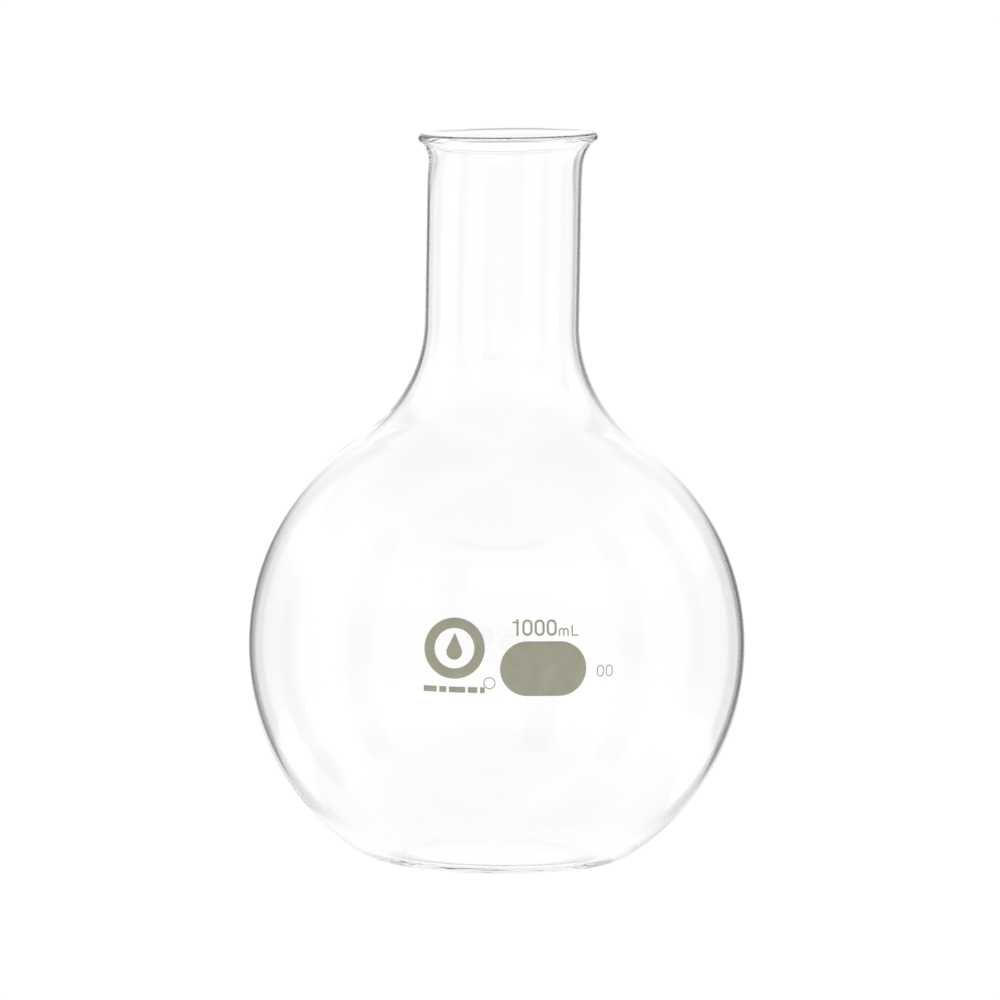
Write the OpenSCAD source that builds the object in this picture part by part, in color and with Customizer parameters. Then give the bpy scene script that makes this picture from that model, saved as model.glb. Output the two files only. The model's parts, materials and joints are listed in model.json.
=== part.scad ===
// Flat-bottomed boiling flask, one litre: a blown glass bulb and neck, with enamel marks fired on the front.
// The flask stands on z = 0 with its axis along z. The marks face -y.

/* [Bulb] */
// Outer diameter of the bulb
bulb_d = 131; // [126:1:136]
// Height of the bulb's centre above the surface that the flask stands on
bulb_centre_h = 56.6; // [55:0.2:58]
// Thickness of the blown glass
wall = 1.8; // [1.7:0.1:1.9]
// Outer radius of the rounded corner between the bulb and the flat bottom
base_corner_r = 16; // [12:0.5:18]
// Inner radius of the flat ring that the flask stands on
foot_inner_r = 23; // [20:0.5:25]
// Height of the pushed-up middle of the bottom
punt_h = 1.4; // [1:0.1:2]

/* [Neck and rim] */
// Outer diameter of the neck
neck_d = 40.6; // [39:0.2:42]
// Radius of the concave shoulder between the bulb and the neck
shoulder_r = 36.5; // [32:0.5:40]
// Overall height
total_h = 191; // [186:1:196]
// Outer diameter of the flared rim
rim_d = 47; // [46.4:0.2:48]
// Height of the flare, from its start on the neck to the top of the rim
flare_h = 8; // [7:0.5:10]
// Thickness of the fire-polished lip
lip_t = 2.5; // [2.3:0.1:2.8]

/* [Enamel marks] */
// Thickness of the fired enamel
enamel_t = 0.1; // [0.08:0.01:0.15]
// Width of the writing panel
panel_w = 22.4; // [20:0.2:24]
// Height of the writing panel
panel_h = 14; // [12:0.2:15]
// Diameter of the round emblem
emblem_d = 15.6; // [14:0.2:16]
// Height of the capacity numerals
digit_h = 4.2; // [3.6:0.1:4.6]
// Width of a zero
digit_w = 2.6; // [2.2:0.1:2.8]
// Distance from one numeral to the next
digit_pitch = 3.2; // [3:0.1:3.5]
// Stroke width of the numerals
stroke = 0.56; // [0.45:0.01:0.65]
// Height of the unit's capital letter
unit_h = 2.7; // [2.4:0.1:3]
// Stroke width of the unit's letters
thin_stroke = 0.36; // [0.3:0.01:0.45]
// Stroke width of the small ring and the batch marks
hairline = 0.26; // [0.2:0.01:0.3]

/* [Hidden] */
$fn = 144;

glass_colour = [0.80, 0.90, 0.87, 0.35];
enamel_colour = [0.64, 0.64, 0.56];

bulb_r = bulb_d / 2;
neck_r = neck_d / 2;
bulb_centre = [0, bulb_centre_h];
far = 2 * bulb_r;
bore_r = neck_r - wall;

// Bottom corner: a circle that touches the standing plane and, from inside, the bulb.
corner_centre = [
    sqrt((bulb_r - base_corner_r) ^ 2 - (bulb_centre_h - base_corner_r) ^ 2),
    base_corner_r
];
// Shoulder: a circle that touches the neck and, from outside, the bulb.
shoulder_centre = [
    neck_r + shoulder_r,
    bulb_centre_h + sqrt((bulb_r + shoulder_r) ^ 2 - (neck_r + shoulder_r) ^ 2)
];
// Punt: a shallow dome that starts at the inside of the standing ring.
punt_r = (foot_inner_r ^ 2 + punt_h ^ 2) / (2 * punt_h);
punt_centre = [0, punt_h - punt_r];

// Lip: a full round bead, reached by an outer and an inner flare arc that start level on the neck.
lip_r = lip_t / 2;
lip_centre = [rim_d / 2 - lip_r, total_h - lip_r];
flare_start = total_h - flare_h;
flare_rise = lip_centre.y - flare_start;
outer_reach = lip_centre.x - neck_r;
inner_reach = lip_centre.x - bore_r;
outer_flare_r = (outer_reach ^ 2 + flare_rise ^ 2 - lip_r ^ 2) / (2 * (outer_reach + lip_r));
inner_flare_r = (inner_reach ^ 2 + flare_rise ^ 2 - lip_r ^ 2) / (2 * (inner_reach - lip_r));
outer_flare_centre = [neck_r + outer_flare_r, flare_start];
inner_flare_centre = [bore_r + inner_flare_r, flare_start];

// The enamel lies this far off the glass, so that the two never overlap.
enamel_gap = 0.02;

// Places of the marks: distance along the bulb from its front centre line, and above its widest circle.
panel_at = [12.2, 1.5];
emblem_at = [-10.9, 6.4];
first_digit_at = [4.8, 12];
unit_m_at = [17.5, 10.9];
unit_l_at = [20.5, 11.2];
rules_at = [-10.8, -4.2];
small_ring_at = [-1.7, -2.3];
batch_at = [27.4, 0.7];

m_w = 2.6;
m_h = 2.05;
l_w = 1.75;
small_ring_d = 3.1;
batch_w = 1.9;
batch_h = 3;
batch_pitch = 2.5;
block_h = 1.5;
block_gap = 0.7;
block_widths = [3.4, 1.8, 4.2, 2.4, 1.2];

function unit_vector(v) = v / norm(v);
function sum_to(v, n) = n <= 0 ? 0 : v[n - 1] + sum_to(v, n - 1);

// ---- Glass ----

// Half outline from the bottom to the start of the flare, drawn a distance inset inside the outer surface.
module body_half(inset) {
    to_corner = unit_vector(corner_centre - bulb_centre);
    difference() {
        union() {
            intersection() {
                translate(bulb_centre) circle(r = bulb_r - inset);
                polygon([
                    bulb_centre,
                    bulb_centre + far * to_corner,
                    bulb_centre + far * [1, to_corner.y],
                    bulb_centre + far * [1, 1],
                    bulb_centre + far * [0, 1]
                ]);
            }
            intersection() {
                translate(corner_centre) circle(r = base_corner_r - inset);
                polygon([
                    corner_centre,
                    corner_centre + far * [0, -1],
                    corner_centre + far * [to_corner.x, -1],
                    corner_centre + far * to_corner
                ]);
            }
            polygon([[0, inset], [corner_centre.x, inset], corner_centre, bulb_centre]);
            difference() {
                polygon([bulb_centre, shoulder_centre, [0, shoulder_centre.y]]);
                translate(shoulder_centre) circle(r = shoulder_r + inset);
            }
            translate([0, shoulder_centre.y])
                square([neck_r - inset, flare_start - shoulder_centre.y]);
        }
        translate(punt_centre) circle(r = punt_r + inset, $fn = 720);
    }
}

// Half outline of the flare, bounded by an arc that swings out to the lip.
module flare_half(centre, r) {
    past_lip = lip_centre + lip_t * unit_vector(lip_centre - inner_flare_centre);
    difference() {
        polygon([[0, flare_start], centre, lip_centre, past_lip, [0, past_lip.y]]);
        translate(centre) circle(r = r);
    }
}

module flask_glass() {
    color(glass_colour) rotate_extrude($fn = 180) difference() {
        union() {
            body_half(0);
            flare_half(outer_flare_centre, outer_flare_r);
            translate(lip_centre) circle(r = lip_r);
        }
        union() {
            body_half(wall);
            flare_half(inner_flare_centre, inner_flare_r);
        }
    }
}

// ---- Enamel ----

// Fires a flat outline onto the bulb at a place, curved to the glass and of even thickness.
module enamel(place) {
    longitude = place.x / bulb_r * 180 / PI;
    latitude = place.y / bulb_r * 180 / PI;
    inner_r = bulb_r + enamel_gap;
    color(enamel_colour) translate([0, 0, bulb_centre_h]) difference() {
        intersection() {
            sphere(r = inner_r + enamel_t, $fn = 360);
            rotate([0, 0, longitude]) rotate([90 - latitude, 0, 0])
                translate([0, 0, bulb_r / 2]) linear_extrude(bulb_r) children();
        }
        sphere(r = inner_r, $fn = 360);
    }
}

// A shape with two half-round ends, lying or upright, whichever side is longer.
module stadium(w, h) {
    end_r = min(w, h) / 2;
    run = [w / 2 - end_r, h / 2 - end_r];
    for (side = [-1, 1]) translate(side * run) circle(r = end_r);
    square([run.x > 0 ? 2 * run.x : w, run.y > 0 ? 2 * run.y : h], center = true);
}

module oval_ring(w, h, line) {
    difference() {
        stadium(w, h);
        stadium(w - 2 * line, h - 2 * line);
    }
}

module drop_outline(r, tip) {
    touch_angle = acos(r / tip);
    touch = r * [sin(touch_angle), cos(touch_angle)];
    circle(r = r);
    polygon([[0, 0], touch, [0, tip], [-touch.x, touch.y]]);
}

module writing_panel() {
    enamel(panel_at) stadium(panel_w, panel_h);
}

// The round emblem is a disc with an open ring and a plain drop in the middle.
emblem_window_r = emblem_d * 0.33;
drop_r = emblem_d * 0.13;

module emblem_disc() {
    enamel(emblem_at) difference() {
        circle(d = emblem_d);
        circle(r = emblem_window_r);
    }
}

module emblem_drop() {
    enamel(emblem_at) translate([0, -drop_r * 0.45]) drop_outline(drop_r, 2.4 * drop_r);
}

module capacity_one() {
    flag_w = digit_w * 0.6;
    enamel(first_digit_at) {
        translate([flag_w / 2 - stroke, -digit_h / 2]) square([stroke, digit_h]);
        translate([-flag_w / 2, digit_h * 0.26]) square([flag_w - stroke / 2, stroke * 0.8]);
    }
}

module capacity_zero(n) {
    enamel(first_digit_at + [n * digit_pitch - 0.1, 0]) oval_ring(digit_w, digit_h, stroke);
}

module unit_m() {
    arch_r = (m_w + thin_stroke) / 4;
    enamel(unit_m_at) {
        for (side = [-1, 0, 1])
            translate([side * (m_w - thin_stroke) / 2 - thin_stroke / 2, -m_h / 2])
                square([thin_stroke, m_h - arch_r]);
        for (side = [-1, 1])
            translate([side * (m_w - thin_stroke) / 4, m_h / 2 - arch_r]) difference() {
                circle(r = arch_r);
                circle(r = arch_r - thin_stroke);
                translate([-arch_r, -2 * arch_r]) square(2 * arch_r);
            }
    }
}

module unit_l() {
    enamel(unit_l_at) translate([-l_w / 2, -unit_h / 2]) {
        square([thin_stroke, unit_h]);
        square([l_w, thin_stroke]);
    }
}

module rule_blocks() {
    row_w = sum_to(block_widths, len(block_widths)) + (len(block_widths) - 1) * block_gap;
    enamel(rules_at)
        for (i = [0 : len(block_widths) - 1])
            translate([sum_to(block_widths, i) + i * block_gap - row_w / 2, -block_h / 2])
                square([block_widths[i], block_h]);
}

module small_ring() {
    enamel(small_ring_at) difference() {
        circle(d = small_ring_d);
        circle(d = small_ring_d - 2 * hairline);
    }
}

module batch_mark(n) {
    enamel(batch_at + [n * batch_pitch, 0]) oval_ring(batch_w, batch_h, hairline);
}

flask_glass();
writing_panel();
emblem_disc();
emblem_drop();
capacity_one();
capacity_zero(1);  // capacity_zero_1
capacity_zero(2);  // capacity_zero_2
capacity_zero(3);  // capacity_zero_3
unit_m();
unit_l();
rule_blocks();
small_ring();
batch_mark(0);  // batch_mark_1
batch_mark(1);  // batch_mark_2
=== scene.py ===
"""A one-litre flat-bottom boiling flask: clear blown glass with enamel marks, in a white light tent."""
import json
import math

import bpy
from mathutils import Matrix, Vector
from mathutils.geometry import delaunay_2d_cdt


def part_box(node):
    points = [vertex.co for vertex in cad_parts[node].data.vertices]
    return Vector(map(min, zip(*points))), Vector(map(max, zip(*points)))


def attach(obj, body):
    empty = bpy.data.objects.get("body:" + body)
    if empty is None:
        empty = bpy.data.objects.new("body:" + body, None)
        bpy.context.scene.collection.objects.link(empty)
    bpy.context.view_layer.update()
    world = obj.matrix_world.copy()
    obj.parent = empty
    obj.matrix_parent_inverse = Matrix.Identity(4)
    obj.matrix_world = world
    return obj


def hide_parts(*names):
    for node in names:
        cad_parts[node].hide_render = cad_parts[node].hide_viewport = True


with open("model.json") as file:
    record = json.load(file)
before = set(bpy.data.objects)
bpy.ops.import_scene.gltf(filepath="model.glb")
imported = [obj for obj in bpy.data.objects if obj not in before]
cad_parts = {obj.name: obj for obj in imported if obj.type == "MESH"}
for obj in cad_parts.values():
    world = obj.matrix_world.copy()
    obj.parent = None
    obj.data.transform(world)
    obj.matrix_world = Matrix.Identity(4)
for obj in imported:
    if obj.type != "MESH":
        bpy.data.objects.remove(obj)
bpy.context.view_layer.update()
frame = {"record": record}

MM = 0.001

# ---- Sizes of the flask, in metres ------------------------------------------------------------------------------

BORE = next(mount for mount in frame["record"]["mounts"] if mount["name"] == "neck_bore")
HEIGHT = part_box("flask_glass")[1].z
BULB_R = 65.5 * MM
BULB_Z = 56.6 * MM
WALL = 1.8 * MM
BORE_R = BORE["dims"]["r_mm"] * MM
NECK_R = BORE_R + WALL
SHOULDER_R = 36.5 * MM
CORNER_R = 16 * MM
FOOT_INNER_R = 23 * MM
PUNT_H = 1.4 * MM
RIM_R = 23.5 * MM
LIP_R = 1.25 * MM
FLARE_H = 8 * MM

# Steps between the points of the outline, along the body and round the rim.
BODY_STEP = 0.9 * MM
RIM_STEP = 0.35 * MM
SAME_POINT = 0.02 * MM
SEGMENTS = 216

# The blown wall is thinner than WALL, thicker on one side, and thickens into the rolled rim.
DRAWN_THIN = 0.65 * MM
LOPSIDED_BULB = 0.12 * MM
LOPSIDED_NECK = 0.24 * MM
UNEVEN = 0.01 * MM
RIM_THICKENS_FROM = HEIGHT - 20 * MM
RIM_THICKENS_TO = HEIGHT - 2 * MM

# The rim was finished by hand: a little tilted and to one side.
RIM_TILT = math.radians(1.5)
RIM_SHIFT = 0.7 * MM
RIM_TILT_DEPTH = 14 * MM


# ---- Camera -----------------------------------------------------------------------------------------------------

CAMERA_DISTANCE = 2.223
CAMERA_ELEVATION = math.radians(5.94)
CAMERA_ROLL = math.radians(0.99)
CAMERA_CENTRE_Z = 0.090
CAMERA_AIM = Vector((0.0002, 0, 0.0946))
CAMERA_LENS = 305.3
CAMERA_SENSOR = 36


def make_camera():
    """A long lens a little above the flask, rolled by about a degree."""
    data = bpy.data.cameras.new("camera")
    data.lens = CAMERA_LENS
    data.sensor_width = CAMERA_SENSOR
    data.clip_start, data.clip_end = 0.05, 50
    camera = bpy.data.objects.new("camera", data)
    bpy.context.scene.collection.objects.link(camera)
    camera.location = (
        0,
        -CAMERA_DISTANCE * math.cos(CAMERA_ELEVATION),
        CAMERA_CENTRE_Z + CAMERA_DISTANCE * math.sin(CAMERA_ELEVATION),
    )
    aim = (CAMERA_AIM - camera.location).to_track_quat("-Z", "Y").to_matrix()
    camera.rotation_euler = (aim @ Matrix.Rotation(CAMERA_ROLL, 3, "Z")).to_euler()
    bpy.context.scene.camera = camera


# ---- Outlines and meshes ----------------------------------------------------------------------------------------

def arc(centre, radius, start, end, step):
    """Points along an arc, from one angle to the other, both ends included."""
    count = max(2, math.ceil(abs(end - start) * radius / step))
    angles = [start + (end - start) * i / count for i in range(count + 1)]
    return [(centre[0] + radius * math.cos(a), centre[1] + radius * math.sin(a)) for a in angles]


def line(start, end, step):
    """Points along a straight line, both ends included."""
    count = max(1, math.ceil(math.dist(start, end) / step))
    return [tuple(s + (e - s) * i / count for s, e in zip(start, end)) for i in range(count + 1)]


def angle_to(centre, point):
    return math.atan2(point[1] - centre[1], point[0] - centre[0])


def smoothstep(low, high, value):
    t = min(1.0, max(0.0, (value - low) / (high - low)))
    return t * t * (3 - 2 * t)


def add_mesh(name, verts, faces, material):
    """An object of one mesh and one material, linked to the scene."""
    mesh = bpy.data.meshes.new(name)
    mesh.from_pydata(verts, [], faces)
    mesh.validate()
    mesh.shade_smooth()
    mesh.materials.append(material)
    piece = bpy.data.objects.new(name, mesh)
    bpy.context.scene.collection.objects.link(piece)
    return piece


# ---- Glass ------------------------------------------------------------------------------------------------------

def body_profile(inset, step):
    """Half outline (r, z) from the middle of the bottom to the flare, a distance inside the outer surface."""
    bulb = (0, BULB_Z)
    corner = (math.sqrt((BULB_R - CORNER_R) ** 2 - (BULB_Z - CORNER_R) ** 2), CORNER_R)
    reach = NECK_R + SHOULDER_R
    shoulder = (reach, BULB_Z + math.sqrt((BULB_R + SHOULDER_R) ** 2 - reach ** 2))
    punt_r = (FOOT_INNER_R ** 2 + PUNT_H ** 2) / (2 * PUNT_H)
    punt = (0, PUNT_H - punt_r)
    punt_end = math.acos((inset - punt[1]) / (punt_r + inset))
    foot = (punt_r + inset) * math.sin(punt_end)
    corner_up = angle_to(bulb, corner)
    shoulder_down = angle_to(bulb, shoulder)
    return [
        *arc(punt, punt_r + inset, math.pi / 2, math.pi / 2 - punt_end, 1.2 * step),
        *line((foot, inset), (corner[0], inset), step),
        *arc(corner, CORNER_R - inset, -math.pi / 2, corner_up, 0.7 * step),
        *arc(bulb, BULB_R - inset, corner_up, shoulder_down, step),
        *arc(shoulder, SHOULDER_R + inset, shoulder_down + math.pi, math.pi, step),
        *line((NECK_R - inset, shoulder[1]), (NECK_R - inset, HEIGHT - FLARE_H), step),
    ]


def flare_centre(wall_r, outward):
    """Centre and radius of the flare arc that leaves the neck at wall_r and touches the lip bead."""
    rise = FLARE_H - LIP_R
    reach = RIM_R - LIP_R - wall_r
    radius = (reach ** 2 + rise ** 2 - LIP_R ** 2) / (2 * (reach + outward * LIP_R))
    return (wall_r + radius, HEIGHT - FLARE_H), radius


def flask_profile():
    """The closed half outline of the glass, up the outside, over the lip and down the inside.

    Each entry is a point (r, z) and whether it is on the inside.
    """
    lip = (RIM_R - LIP_R, HEIGHT - LIP_R)
    outer, outer_r = flare_centre(NECK_R, 1)
    inner, inner_r = flare_centre(BORE_R, -1)
    to_lip = angle_to(outer, lip)
    from_lip = angle_to(inner, lip)
    outside = [
        *body_profile(0, BODY_STEP),
        *arc(outer, outer_r, math.pi, to_lip, RIM_STEP),
        *arc(lip, LIP_R, to_lip - math.pi, from_lip, RIM_STEP / 2),
    ]
    inside = [
        *body_profile(WALL, BODY_STEP),
        *arc(inner, inner_r, math.pi, from_lip, RIM_STEP),
    ]
    points = [(p, False) for p in outside] + [(p, True) for p in reversed(inside)]
    kept = points[:1]
    for point in points[1:]:
        if math.dist(point[0], kept[-1][0]) > SAME_POINT:
            kept.append(point)
    return kept


def wall_change(angle, z):
    """How much thicker than WALL the glass is at a place. Blown glass is thin where it was drawn out."""
    z_mm = z / MM
    neck = smoothstep(100, 125, z_mm)
    lopsided = LOPSIDED_BULB + (LOPSIDED_NECK - LOPSIDED_BULB) * neck
    uneven = (
        2 * math.sin(2 * angle + 0.026 * z_mm)
        + 1.5 * math.sin(3 * angle - 0.058 * z_mm + 1.0)
        + math.sin(0.11 * z_mm + 2.0 * math.sin(angle))
    )
    return lopsided * math.cos(angle) + UNEVEN * uneven - DRAWN_THIN


def glass_point(r, z, angle, inner):
    """A point of the glass from its profile place, with the small irregularities of hand-finished glass."""
    if inner:
        in_walls = smoothstep(0, 15 * MM, r) * (1 - smoothstep(RIM_THICKENS_FROM, RIM_THICKENS_TO, z))
        r -= wall_change(angle, z) * in_walls
    at_rim = smoothstep(HEIGHT - RIM_TILT_DEPTH, HEIGHT, z)
    x = r * math.cos(angle) + RIM_SHIFT * at_rim
    y = r * math.sin(angle)
    return x, y, z + x * math.tan(RIM_TILT) * at_rim


def make_glass(material):
    """The flask as one watertight mesh: its closed profile, whose two ends lie on the axis, turned round."""
    verts = []
    faces = []
    rings = []
    for (r, z), inner in flask_profile():
        first = len(verts)
        if r < 1e-7:
            rings.append([first] * SEGMENTS)
            verts.append(glass_point(0, z, 0, inner))
        else:
            rings.append(list(range(first, first + SEGMENTS)))
            for i in range(SEGMENTS):
                verts.append(glass_point(r, z, 2 * math.pi * i / SEGMENTS, inner))
    for low, high in zip(rings, rings[1:]):
        for i in range(SEGMENTS):
            j = (i + 1) % SEGMENTS
            corners = [low[i], low[j], high[j], high[i]]
            faces.append(list(dict.fromkeys(corners)))
    glass = add_mesh("flask_glass_blown", verts, faces, material)
    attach(glass, "root")
    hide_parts("flask_glass")


# ---- Enamel outlines, in millimetres ----------------------------------------------------------------------------

def clockwise(loop):
    """A hole: an outline the other way round."""
    return loop[::-1]


def round_part(cx, cy, r, start, end, count=24):
    """Points on part of a circle, with angles in degrees."""
    angles = [math.radians(start + (end - start) * i / count) for i in range(count + 1)]
    return [(cx + r * math.cos(a), cy + r * math.sin(a)) for a in angles]


def circle(r):
    return round_part(0, 0, r, 0, 360, 72)[:-1]


def rectangle(x0, y0, x1, y1):
    return [(x0, y0), (x1, y0), (x1, y1), (x0, y1)]


def stadium(w, h):
    """An outline with two half-round ends, lying or upright."""
    r = min(w, h) / 2
    if w > h:
        return round_part(w / 2 - r, 0, r, -90, 90) + round_part(r - w / 2, 0, r, 90, 270)
    return round_part(0, h / 2 - r, r, 0, 180) + round_part(0, r - h / 2, r, 180, 360)


def oval_ring(w, h, stroke):
    return [stadium(w, h), clockwise(stadium(w - 2 * stroke, h - 2 * stroke))]


def drop(r, tip, y):
    """A circle drawn out to a point at the top, with its centre at height y."""
    touch = math.degrees(math.acos(r / tip))
    return round_part(0, y, r, 90 + touch, 450 - touch, 48) + [(0, y + tip)]


def numeral_one(h, stroke):
    """A stem with a plain bar to its left, placed within the width of the other digits."""
    flag = 1.0
    bar = 0.8 * stroke
    bar_y = 0.26 * h
    right = 0.78
    left = right - stroke
    return [
        (left, -h / 2), (right, -h / 2), (right, h / 2), (left, h / 2),
        (left, bar_y + bar), (left - flag, bar_y + bar), (left - flag, bar_y), (left, bar_y),
    ]


def letter_m(w, h, stroke):
    """Three stems under two arches."""
    r_out = (w + stroke) / 4
    r_in = r_out - stroke
    top = h / 2 - r_out
    half = (w - stroke) / 4
    meet = math.degrees(math.acos(half / r_out))
    return [
        (w / 2 - stroke, -h / 2), (w / 2, -h / 2),
        *round_part(half, top, r_out, 0, 180 - meet, 12),
        *round_part(-half, top, r_out, meet, 180, 12)[1:],
        (-w / 2, -h / 2), (-w / 2 + stroke, -h / 2),
        *round_part(-half, top, r_in, 180, 0, 10),
        (-stroke / 2, -h / 2), (stroke / 2, -h / 2),
        *round_part(half, top, r_in, 180, 0, 10),
    ]


def letter_l(w, h, stroke):
    return [
        (-w / 2, -h / 2), (w / 2, -h / 2), (w / 2, -h / 2 + stroke),
        (-w / 2 + stroke, -h / 2 + stroke), (-w / 2 + stroke, h / 2), (-w / 2, h / 2),
    ]


def block_row(widths, height, gap):
    """A row of plain blocks, centred."""
    x = -(sum(widths) + gap * (len(widths) - 1)) / 2
    shapes = []
    for width in widths:
        shapes.append([rectangle(x, -height / 2, x + width, height / 2)])
        x += width + gap
    return shapes


# ---- Enamel meshes, in metres -----------------------------------------------------------------------------------

ENAMEL_T = 0.09 * MM
ENAMEL_SINK = 0.02 * MM
OUTLINE_STEP = 0.16 * MM
GRID_STEP = 0.8 * MM

# The rounded edge of a mark from its foot up: how far in from the outline, and how far out from the glass.
ENAMEL_EDGE = [
    (0, -ENAMEL_SINK),
    (0, 0.45 * ENAMEL_T),
    (0.012 * MM, 0.8 * ENAMEL_T),
    (0.05 * MM, ENAMEL_T),
]


def densify(loop):
    """A closed outline in millimetres as points in metres no further apart than OUTLINE_STEP."""
    loop = [(x * MM, y * MM) for x, y in loop]
    points = []
    for start, end in zip(loop, loop[1:] + loop[:1]):
        points += line(start, end, OUTLINE_STEP)[:-1]
    return points


def shrink(loop, distance):
    """A closed anticlockwise outline moved inwards, or a clockwise hole made wider."""
    moved = []
    count = len(loop)
    for i, (x, y) in enumerate(loop):
        before, after = loop[i - 1], loop[(i + 1) % count]
        tangent = Vector((after[0] - before[0], after[1] - before[1])).normalized()
        moved.append((x - tangent.y * distance, y + tangent.x * distance))
    return moved


def on_bulb(place, x, y, height):
    """A point of a flat outline laid on the bulb round a place, at a height above the glass."""
    along = Matrix.Rotation(place[0] * MM / BULB_R, 3, "Z")
    up = Matrix.Rotation(-place[1] * MM / BULB_R, 3, "X")
    direction = Vector((x, -math.sqrt(BULB_R ** 2 - x * x - y * y), y)).normalized()
    return Vector((0, 0, BULB_Z)) + along @ up @ direction * (BULB_R + height)


def inside(point, loops):
    """Whether a point is within the outline and out of its holes, by the even-odd rule."""
    x, y = point
    crossings = 0
    for loop in loops:
        for (x0, y0), (x1, y1) in zip(loop, loop[1:] + loop[:1]):
            if (y0 > y) != (y1 > y) and x < x0 + (y - y0) / (y1 - y0) * (x1 - x0):
                crossings += 1
    return crossings % 2 == 1


def grid_points(loops):
    """Points of a staggered grid within an outline and clear of its border."""
    border = [Vector(point) for loop in loops for point in loop]
    left, right = min(p.x for p in border), max(p.x for p in border)
    bottom, top = min(p.y for p in border), max(p.y for p in border)
    spots = []
    for row in range(1, int((top - bottom) / GRID_STEP) + 1):
        for column in range(1, int((right - left) / GRID_STEP) + 1):
            spot = (left + (column - 0.5 * (row % 2)) * GRID_STEP, bottom + row * GRID_STEP)
            clear = min((p - Vector(spot)).length for p in border) > 0.45 * GRID_STEP
            if clear and inside(spot, loops):
                spots.append(spot)
    return spots


def add_edge(verts, faces, place, loops):
    """The rounded edge of a mark. Gives the vertex numbers of each loop, at the foot and at the top."""
    rings = []
    for inset, height in ENAMEL_EDGE:
        ring = []
        for loop in loops:
            ring.append(range(len(verts), len(verts) + len(loop)))
            verts.extend(on_bulb(place, x, y, height) for x, y in shrink(loop, inset))
        rings.append(ring)
    for low, high in zip(rings, rings[1:]):
        for a, b in zip(low, high):
            for i in range(len(a)):
                j = (i + 1) % len(a)
                faces.append((a[i], a[j], b[j], b[i]))
    return rings[0], rings[-1]


def add_sheet(verts, faces, place, loops, ring, height, face_down=False):
    """Fills a ring of vertices with a triangulated sheet that follows the bulb."""
    border = [point for loop in loops for point in loop]
    numbers = [number for part in ring for number in part]
    constraints = []
    first = 0
    for loop in loops:
        constraints += [(first + i, first + (i + 1) % len(loop)) for i in range(len(loop))]
        first += len(loop)
    spots = grid_points(loops)
    numbers += range(len(verts), len(verts) + len(spots))
    verts.extend(on_bulb(place, x, y, height) for x, y in spots)
    flat = [Vector(point) for point in border + spots]
    out_verts, _, out_faces, origins, _, _ = delaunay_2d_cdt(flat, constraints, [], 1, 1e-9)
    for face in out_faces:
        centre = sum((out_verts[i] for i in face), Vector((0, 0))) / len(face)
        if inside(centre, loops):
            corners = [numbers[origins[i][0]] for i in face]
            faces.append(corners[::-1] if face_down else corners)


def enamel_mark(node, place, shapes, material):
    """A patch of enamel fused to the bulb, with a rounded edge. Each shape is an outline and its holes."""
    verts = []
    faces = []
    top_inset, top_height = ENAMEL_EDGE[-1]
    for shape in shapes:
        loops = [densify(loop) for loop in shape]
        foot, top = add_edge(verts, faces, place, loops)
        add_sheet(verts, faces, place, [shrink(loop, top_inset) for loop in loops], top, top_height)
        add_sheet(verts, faces, place, loops, foot, -ENAMEL_SINK, face_down=True)
    piece = add_mesh(node + "_enamel", verts, faces, material)
    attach(piece, "root")
    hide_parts(node)


def make_marks(material):
    """Every enamel mark. Places are millimetres along the bulb from its front line and above its widest circle."""
    emblem = (-10.9, 6.4)
    emblem_r = 7.8
    drop_r = 0.26 * emblem_r
    digit = {"w": 2.6, "h": 4.2, "stroke": 0.56}
    pitch = 3.2
    first_digit = (4.8, 12)
    unit_stroke = 0.36
    hairline = 0.26
    enamel_mark("writing_panel", (12.2, 1.5), [[stadium(22.4, 14)]], material)
    disc = [circle(emblem_r), clockwise(circle(0.66 * emblem_r))]
    enamel_mark("emblem_disc", emblem, [disc], material)
    enamel_mark("emblem_drop", emblem, [[drop(drop_r, 2.4 * drop_r, -0.45 * drop_r)]], material)
    enamel_mark("capacity_one", first_digit, [[numeral_one(digit["h"], digit["stroke"])]], material)
    for n in (1, 2, 3):
        place = (first_digit[0] + n * pitch - 0.1, first_digit[1])
        enamel_mark(f"capacity_zero_{n}", place, [oval_ring(**digit)], material)
    enamel_mark("unit_m", (17.5, 10.9), [[letter_m(2.6, 2.05, unit_stroke)]], material)
    enamel_mark("unit_l", (20.5, 11.2), [[letter_l(1.75, 2.7, unit_stroke)]], material)
    blocks = block_row([3.4, 1.8, 4.2, 2.4, 1.2], 1.5, 0.7)
    enamel_mark("rule_blocks", (-10.8, -4.2), blocks, material)
    ring = [circle(1.55), clockwise(circle(1.55 - hairline))]
    enamel_mark("small_ring", (-1.7, -2.3), [ring], material)
    for n in (0, 1):
        enamel_mark(f"batch_mark_{n + 1}", (27.4 + 2.5 * n, 0.7), [oval_ring(1.9, 3, hairline)], material)


# ---- Materials --------------------------------------------------------------------------------------------------

def new_material(name):
    material = bpy.data.materials.new(name)
    material.use_nodes = True
    nodes = material.node_tree.nodes
    nodes.clear()
    return material, nodes, material.node_tree.links


def set_stops(ramp, stops):
    """Gives a colour ramp its stops, each a position and a colour."""
    while len(ramp.elements) < len(stops):
        ramp.elements.new(0.5)
    for element, (position, colour) in zip(ramp.elements, stops):
        element.position = position
        element.color = (*colour, 1)


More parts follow.
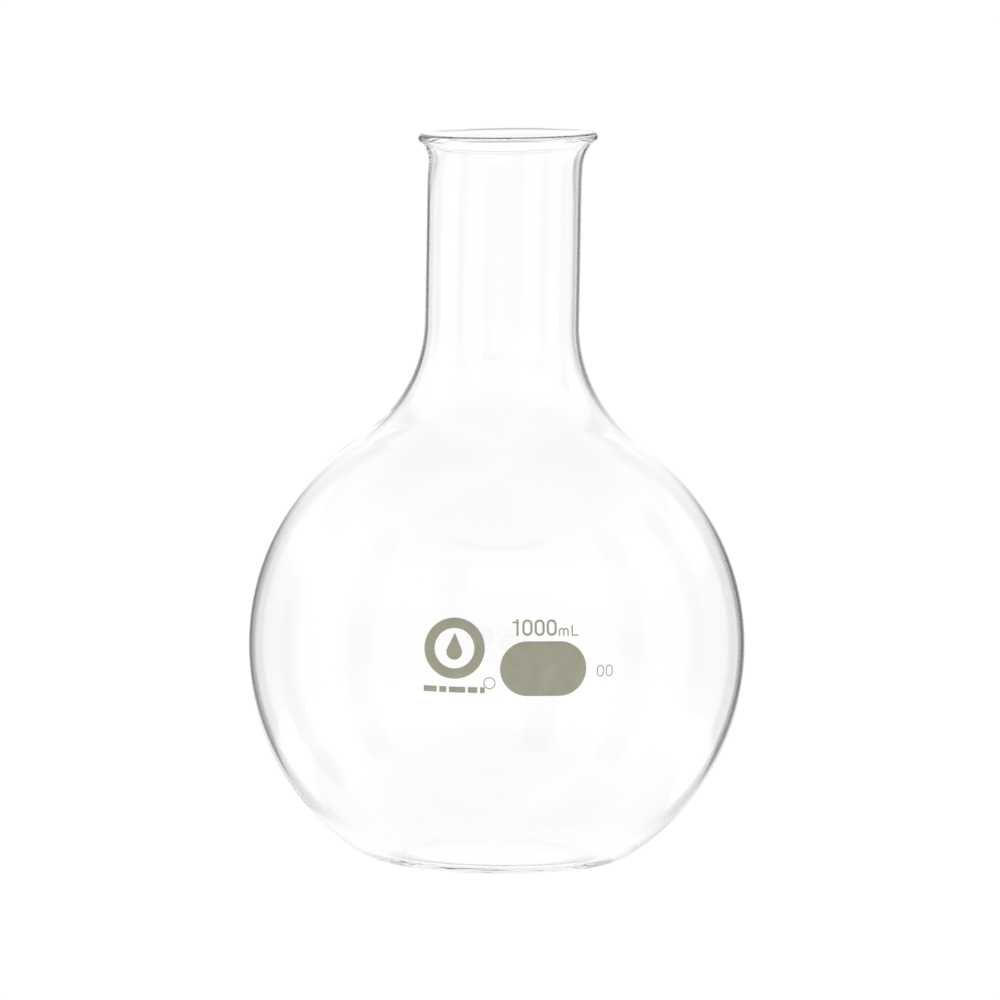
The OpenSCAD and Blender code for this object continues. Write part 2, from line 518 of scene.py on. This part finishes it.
def glass_material():
    """Clear borosilicate glass with the faint grey-green of its own thickness."""
    material, nodes, links = new_material("borosilicate_glass")
    output = nodes.new("ShaderNodeOutputMaterial")
    shader = nodes.new("ShaderNodeBsdfPrincipled")
    shader.inputs["Base Color"].default_value = (1, 1, 1, 1)
    shader.inputs["Roughness"].default_value = 0.0
    shader.inputs["IOR"].default_value = 1.473
    shader.inputs["Transmission Weight"].default_value = 1.0
    volume = nodes.new("ShaderNodeVolumeAbsorption")
    volume.inputs["Color"].default_value = (0.30, 0.52, 0.36, 1)
    volume.inputs["Density"].default_value = 3.0
    links.new(shader.outputs["BSDF"], output.inputs["Surface"])
    links.new(volume.outputs["Volume"], output.inputs["Volume"])
    return material


def enamel_material():
    """Fired grey-beige enamel: satin, clouded slightly in tone, with a fine grain."""
    material, nodes, links = new_material("fired_enamel")
    output = nodes.new("ShaderNodeOutputMaterial")
    shader = nodes.new("ShaderNodeBsdfPrincipled")
    shader.inputs["IOR"].default_value = 1.5
    shader.inputs["Roughness"].default_value = 0.55
    place = nodes.new("ShaderNodeTexCoord")
    cloud = nodes.new("ShaderNodeTexNoise")
    cloud.inputs["Scale"].default_value = 260
    cloud.inputs["Detail"].default_value = 4
    tone = nodes.new("ShaderNodeValToRGB")
    set_stops(tone.color_ramp, [(0.3, (0.385, 0.375, 0.282)), (0.7, (0.44, 0.435, 0.333))])
    grain = nodes.new("ShaderNodeTexNoise")
    grain.inputs["Scale"].default_value = 5000
    grain.inputs["Detail"].default_value = 2
    bump = nodes.new("ShaderNodeBump")
    bump.inputs["Strength"].default_value = 0.25
    bump.inputs["Distance"].default_value = 0.02 * MM
    links.new(place.outputs["Object"], cloud.inputs["Vector"])
    links.new(cloud.outputs["Fac"], tone.inputs["Fac"])
    links.new(tone.outputs["Color"], shader.inputs["Base Color"])
    links.new(place.outputs["Object"], grain.inputs["Vector"])
    links.new(grain.outputs["Fac"], bump.inputs["Height"])
    links.new(bump.outputs["Normal"], shader.inputs["Normal"])
    links.new(shader.outputs["BSDF"], output.inputs["Surface"])
    return material


# ---- Light tent -------------------------------------------------------------------------------------------------

# Compass directions in degrees: the two sides of the tent seen behind the flask from the front and from its right,
# the two corners seen behind it from halfway round, and the side the camera stands on.
BEHIND = 90
BESIDE = 180
CORNER = 135
FAR_CORNER = 315
CAMERA_SIDE = 270

# Brightness of the tent at those sides, and between them.
TENT = 1.025
BETWEEN = 0.9

# How much parts of the tent are lighter or darker than that.
LEVEL_SHADE = 0.1
LOW_GLOW = 0.45
FRONT_SHADE = 0.1
TOP_SHADE = 0.5
LOW_SHADE = 0.45

# Depth of the dark gaps either side of each background. They draw the edges of the clear glass.
GAP_SHADE = 0.8
SIDE_GAP_SHARE = 0.5
FAR_CORNER_GAP_SHARE = 0.8
LOW_GAP_SHARE = 0.65

# Bands as (from, to, softness) in degrees: the gaps either side of a background, then heights above the horizon.
BACK_GAP = (15.5, 31, 2.5)
SIDE_GAP = (16, 29, 4)
LOW_GAP = (14, 31, 3)
LEVEL_SHADE_HEIGHTS = (-12, 18, 6)
LOW_GLOW_HEIGHTS = (-32, -20, 2)
LOW_SHADE_HEIGHTS = (-50, -27, 4)
LOW_GAP_HEIGHTS = (-43, -18, 3)


class Formula:
    """Arithmetic in a node tree. Angles are given in degrees."""

    def __init__(self, tree):
        self.nodes = tree.nodes
        self.links = tree.links

    def do(self, operation, a, b=None):
        """One math node of two numbers or sockets."""
        node = self.nodes.new("ShaderNodeMath")
        node.operation = operation
        for socket, value in zip(node.inputs, (a, b)):
            if isinstance(value, (int, float)):
                socket.default_value = value
            elif value is not None:
                self.links.new(value, socket)
        return node.outputs[0]

    def all_of(self, operation, first, *others):
        """One operation carried through any number of values."""
        result = first
        for other in others:
            result = self.do(operation, result, other)
        return result

    def times(self, *factors):
        return self.all_of("MULTIPLY", *factors)

    def smooth(self, angle, low, high, start=0.0, end=1.0):
        """From start to end as an angle goes from low to high."""
        node = self.nodes.new("ShaderNodeMapRange")
        node.interpolation_type = "SMOOTHSTEP"
        self.links.new(angle, node.inputs["Value"])
        node.inputs["From Min"].default_value = math.radians(low)
        node.inputs["From Max"].default_value = math.radians(high)
        node.inputs["To Min"].default_value = start
        node.inputs["To Max"].default_value = end
        return node.outputs["Result"]

    def band(self, angle, low, high, soft):
        """One between two angles and nothing outside them."""
        rising = self.smooth(angle, low - soft, low + soft)
        falling = self.smooth(angle, high - soft, high + soft, 1, 0)
        return self.times(rising, falling)

    def away_from(self, azimuth, x, y):
        """Level angle between the direction (x, y) and a compass direction."""
        c, s = math.cos(math.radians(azimuth)), math.sin(math.radians(azimuth))
        along = self.do("ADD", self.times(x, c), self.times(y, s))
        across = self.do("SUBTRACT", self.times(y, c), self.times(x, s))
        return self.do("ABSOLUTE", self.do("ARCTAN2", across, along))


def tent_brightness(f, x, y, z):
    """Brightness of the tent in the direction (x, y, z)."""
    height = f.do("ARCSINE", z)
    behind, beside, corner, far_corner = (f.away_from(a, x, y) for a in (BEHIND, BESIDE, CORNER, FAR_CORNER))
    aside = f.all_of("MINIMUM", behind, beside, far_corner)
    flanks = f.do("MINIMUM", aside, corner)

    sides = f.smooth(aside, 10, 30, TENT, BETWEEN)
    glow = f.times(f.smooth(aside, 7, 12, 0, LOW_GLOW), f.band(height, *LOW_GLOW_HEIGHTS))
    shades = [
        f.times(f.smooth(aside, 10, 26, 0, LEVEL_SHADE), f.band(height, *LEVEL_SHADE_HEIGHTS)),
        f.times(f.smooth(f.away_from(CAMERA_SIDE, x, y), 50, 80, FRONT_SHADE, 0), f.smooth(height, -9, -2)),
        f.smooth(height, 35, 60, 0, TOP_SHADE),
        f.times(f.band(height, *LOW_SHADE_HEIGHTS), f.smooth(behind, 7, 12, LOW_SHADE, 0)),
    ]
    level = f.all_of("SUBTRACT", f.do("ADD", sides, glow), *shades)

    far_gap = f.times(f.band(far_corner, *SIDE_GAP), FAR_CORNER_GAP_SHARE)
    side_gap = f.times(f.do("MAXIMUM", f.band(beside, *SIDE_GAP), far_gap), SIDE_GAP_SHARE)
    at_horizon = f.times(f.smooth(height, -20, -17), f.smooth(height, 1, 16, 1, 0))
    level_gap = f.times(at_horizon, f.do("MAXIMUM", f.band(behind, *BACK_GAP), side_gap))
    low_gap = f.times(f.band(height, *LOW_GAP_HEIGHTS), f.band(flanks, *LOW_GAP), LOW_GAP_SHARE)
    gap = f.do("MAXIMUM", level_gap, low_gap)
    return f.times(level, f.do("SUBTRACT", 1, f.times(gap, GAP_SHADE)))


def make_world():
    """A white light tent with a soft dark gap either side of the backgrounds."""
    world = bpy.data.worlds.new("light_tent")
    bpy.context.scene.world = world
    world.use_nodes = True
    nodes, links = world.node_tree.nodes, world.node_tree.links
    nodes.clear()
    place = nodes.new("ShaderNodeTexCoord")
    split = nodes.new("ShaderNodeSeparateXYZ")
    background = nodes.new("ShaderNodeBackground")
    background.inputs["Color"].default_value = (1, 1, 1, 1)
    output = nodes.new("ShaderNodeOutputWorld")
    links.new(place.outputs["Generated"], split.inputs[0])
    links.new(tent_brightness(Formula(world.node_tree), *split.outputs), background.inputs["Strength"])
    links.new(background.outputs["Background"], output.inputs["Surface"])


# ---- Floor ------------------------------------------------------------------------------------------------------

FLOOR_R = 60 * MM
FLOOR_FADE_FROM = 0.7
FLOOR_DROP = 0.05 * MM
FLOOR_SEGMENTS = 96

# The shadow under the ring that the flask stands on: distance from the middle, and brightness.
CONTACT_SHADOW = [(22.8 * MM, 1.0), (25.8 * MM, 0.4), (28.5 * MM, 0.2), (29.7 * MM, 1.0), (45 * MM, 1.0)]

# The light from behind washes the shadow out between these two places, front to back.
SHADOW_WASHES_FROM = -18 * MM
SHADOW_GONE_AT = -4 * MM


def floor_material():
    """White that glows like the tent and melts into it at the edge, with the contact shadow at the front."""
    material, nodes, links = new_material("floor_white")
    output = nodes.new("ShaderNodeOutputMaterial")
    glow = nodes.new("ShaderNodeEmission")
    glow.inputs["Strength"].default_value = TENT
    clear = nodes.new("ShaderNodeBsdfTransparent")
    place = nodes.new("ShaderNodeTexCoord")
    length = nodes.new("ShaderNodeVectorMath")
    length.operation = "LENGTH"
    links.new(place.outputs["Object"], length.inputs[0])
    share = Formula(material.node_tree).do("DIVIDE", length.outputs["Value"], FLOOR_R)

    shadow = nodes.new("ShaderNodeValToRGB")
    shadow.color_ramp.interpolation = "EASE"
    set_stops(shadow.color_ramp, [(r / FLOOR_R, (level,) * 3) for r, level in CONTACT_SHADOW])
    split = nodes.new("ShaderNodeSeparateXYZ")
    lit = nodes.new("ShaderNodeMapRange")
    lit.inputs["From Min"].default_value = SHADOW_WASHES_FROM
    lit.inputs["From Max"].default_value = SHADOW_GONE_AT
    washed = nodes.new("ShaderNodeMixRGB")
    washed.inputs["Color2"].default_value = (1, 1, 1, 1)
    links.new(share, shadow.inputs["Fac"])
    links.new(place.outputs["Object"], split.inputs[0])
    links.new(split.outputs["Y"], lit.inputs["Value"])
    links.new(lit.outputs["Result"], washed.inputs["Fac"])
    links.new(shadow.outputs["Color"], washed.inputs["Color1"])
    links.new(washed.outputs["Color"], glow.inputs["Color"])

    fade = nodes.new("ShaderNodeMapRange")
    fade.interpolation_type = "SMOOTHSTEP"
    fade.inputs["From Min"].default_value = FLOOR_FADE_FROM
    fade.inputs["From Max"].default_value = 1.0
    mix = nodes.new("ShaderNodeMixShader")
    links.new(share, fade.inputs["Value"])
    links.new(fade.outputs["Result"], mix.inputs["Fac"])
    links.new(glow.outputs["Emission"], mix.inputs[1])
    links.new(clear.outputs["BSDF"], mix.inputs[2])
    links.new(mix.outputs["Shader"], output.inputs["Surface"])
    return material


def make_floor():
    """A plain white disc just under the flask."""
    angles = [2 * math.pi * i / FLOOR_SEGMENTS for i in range(FLOOR_SEGMENTS)]
    verts = [(0, 0, 0)] + [(FLOOR_R * math.cos(a), FLOOR_R * math.sin(a), 0) for a in angles]
    faces = [(0, i + 1, (i + 1) % FLOOR_SEGMENTS + 1) for i in range(FLOOR_SEGMENTS)]
    floor = add_mesh("floor", verts, faces, floor_material())
    floor.location.z = -FLOOR_DROP


# ---- Scene ------------------------------------------------------------------------------------------------------

def set_render():
    """Plain display colours, and enough bounces for light that is trapped in the glass wall to get out."""
    scene = bpy.context.scene
    scene.view_settings.view_transform = "Standard"
    scene.cycles.max_bounces = 128
    scene.cycles.glossy_bounces = 128
    scene.cycles.transmission_bounces = 128
    scene.cycles.transparent_max_bounces = 16


make_camera()
make_world()
make_floor()
make_glass(glass_material())
make_marks(enamel_material())
set_render()
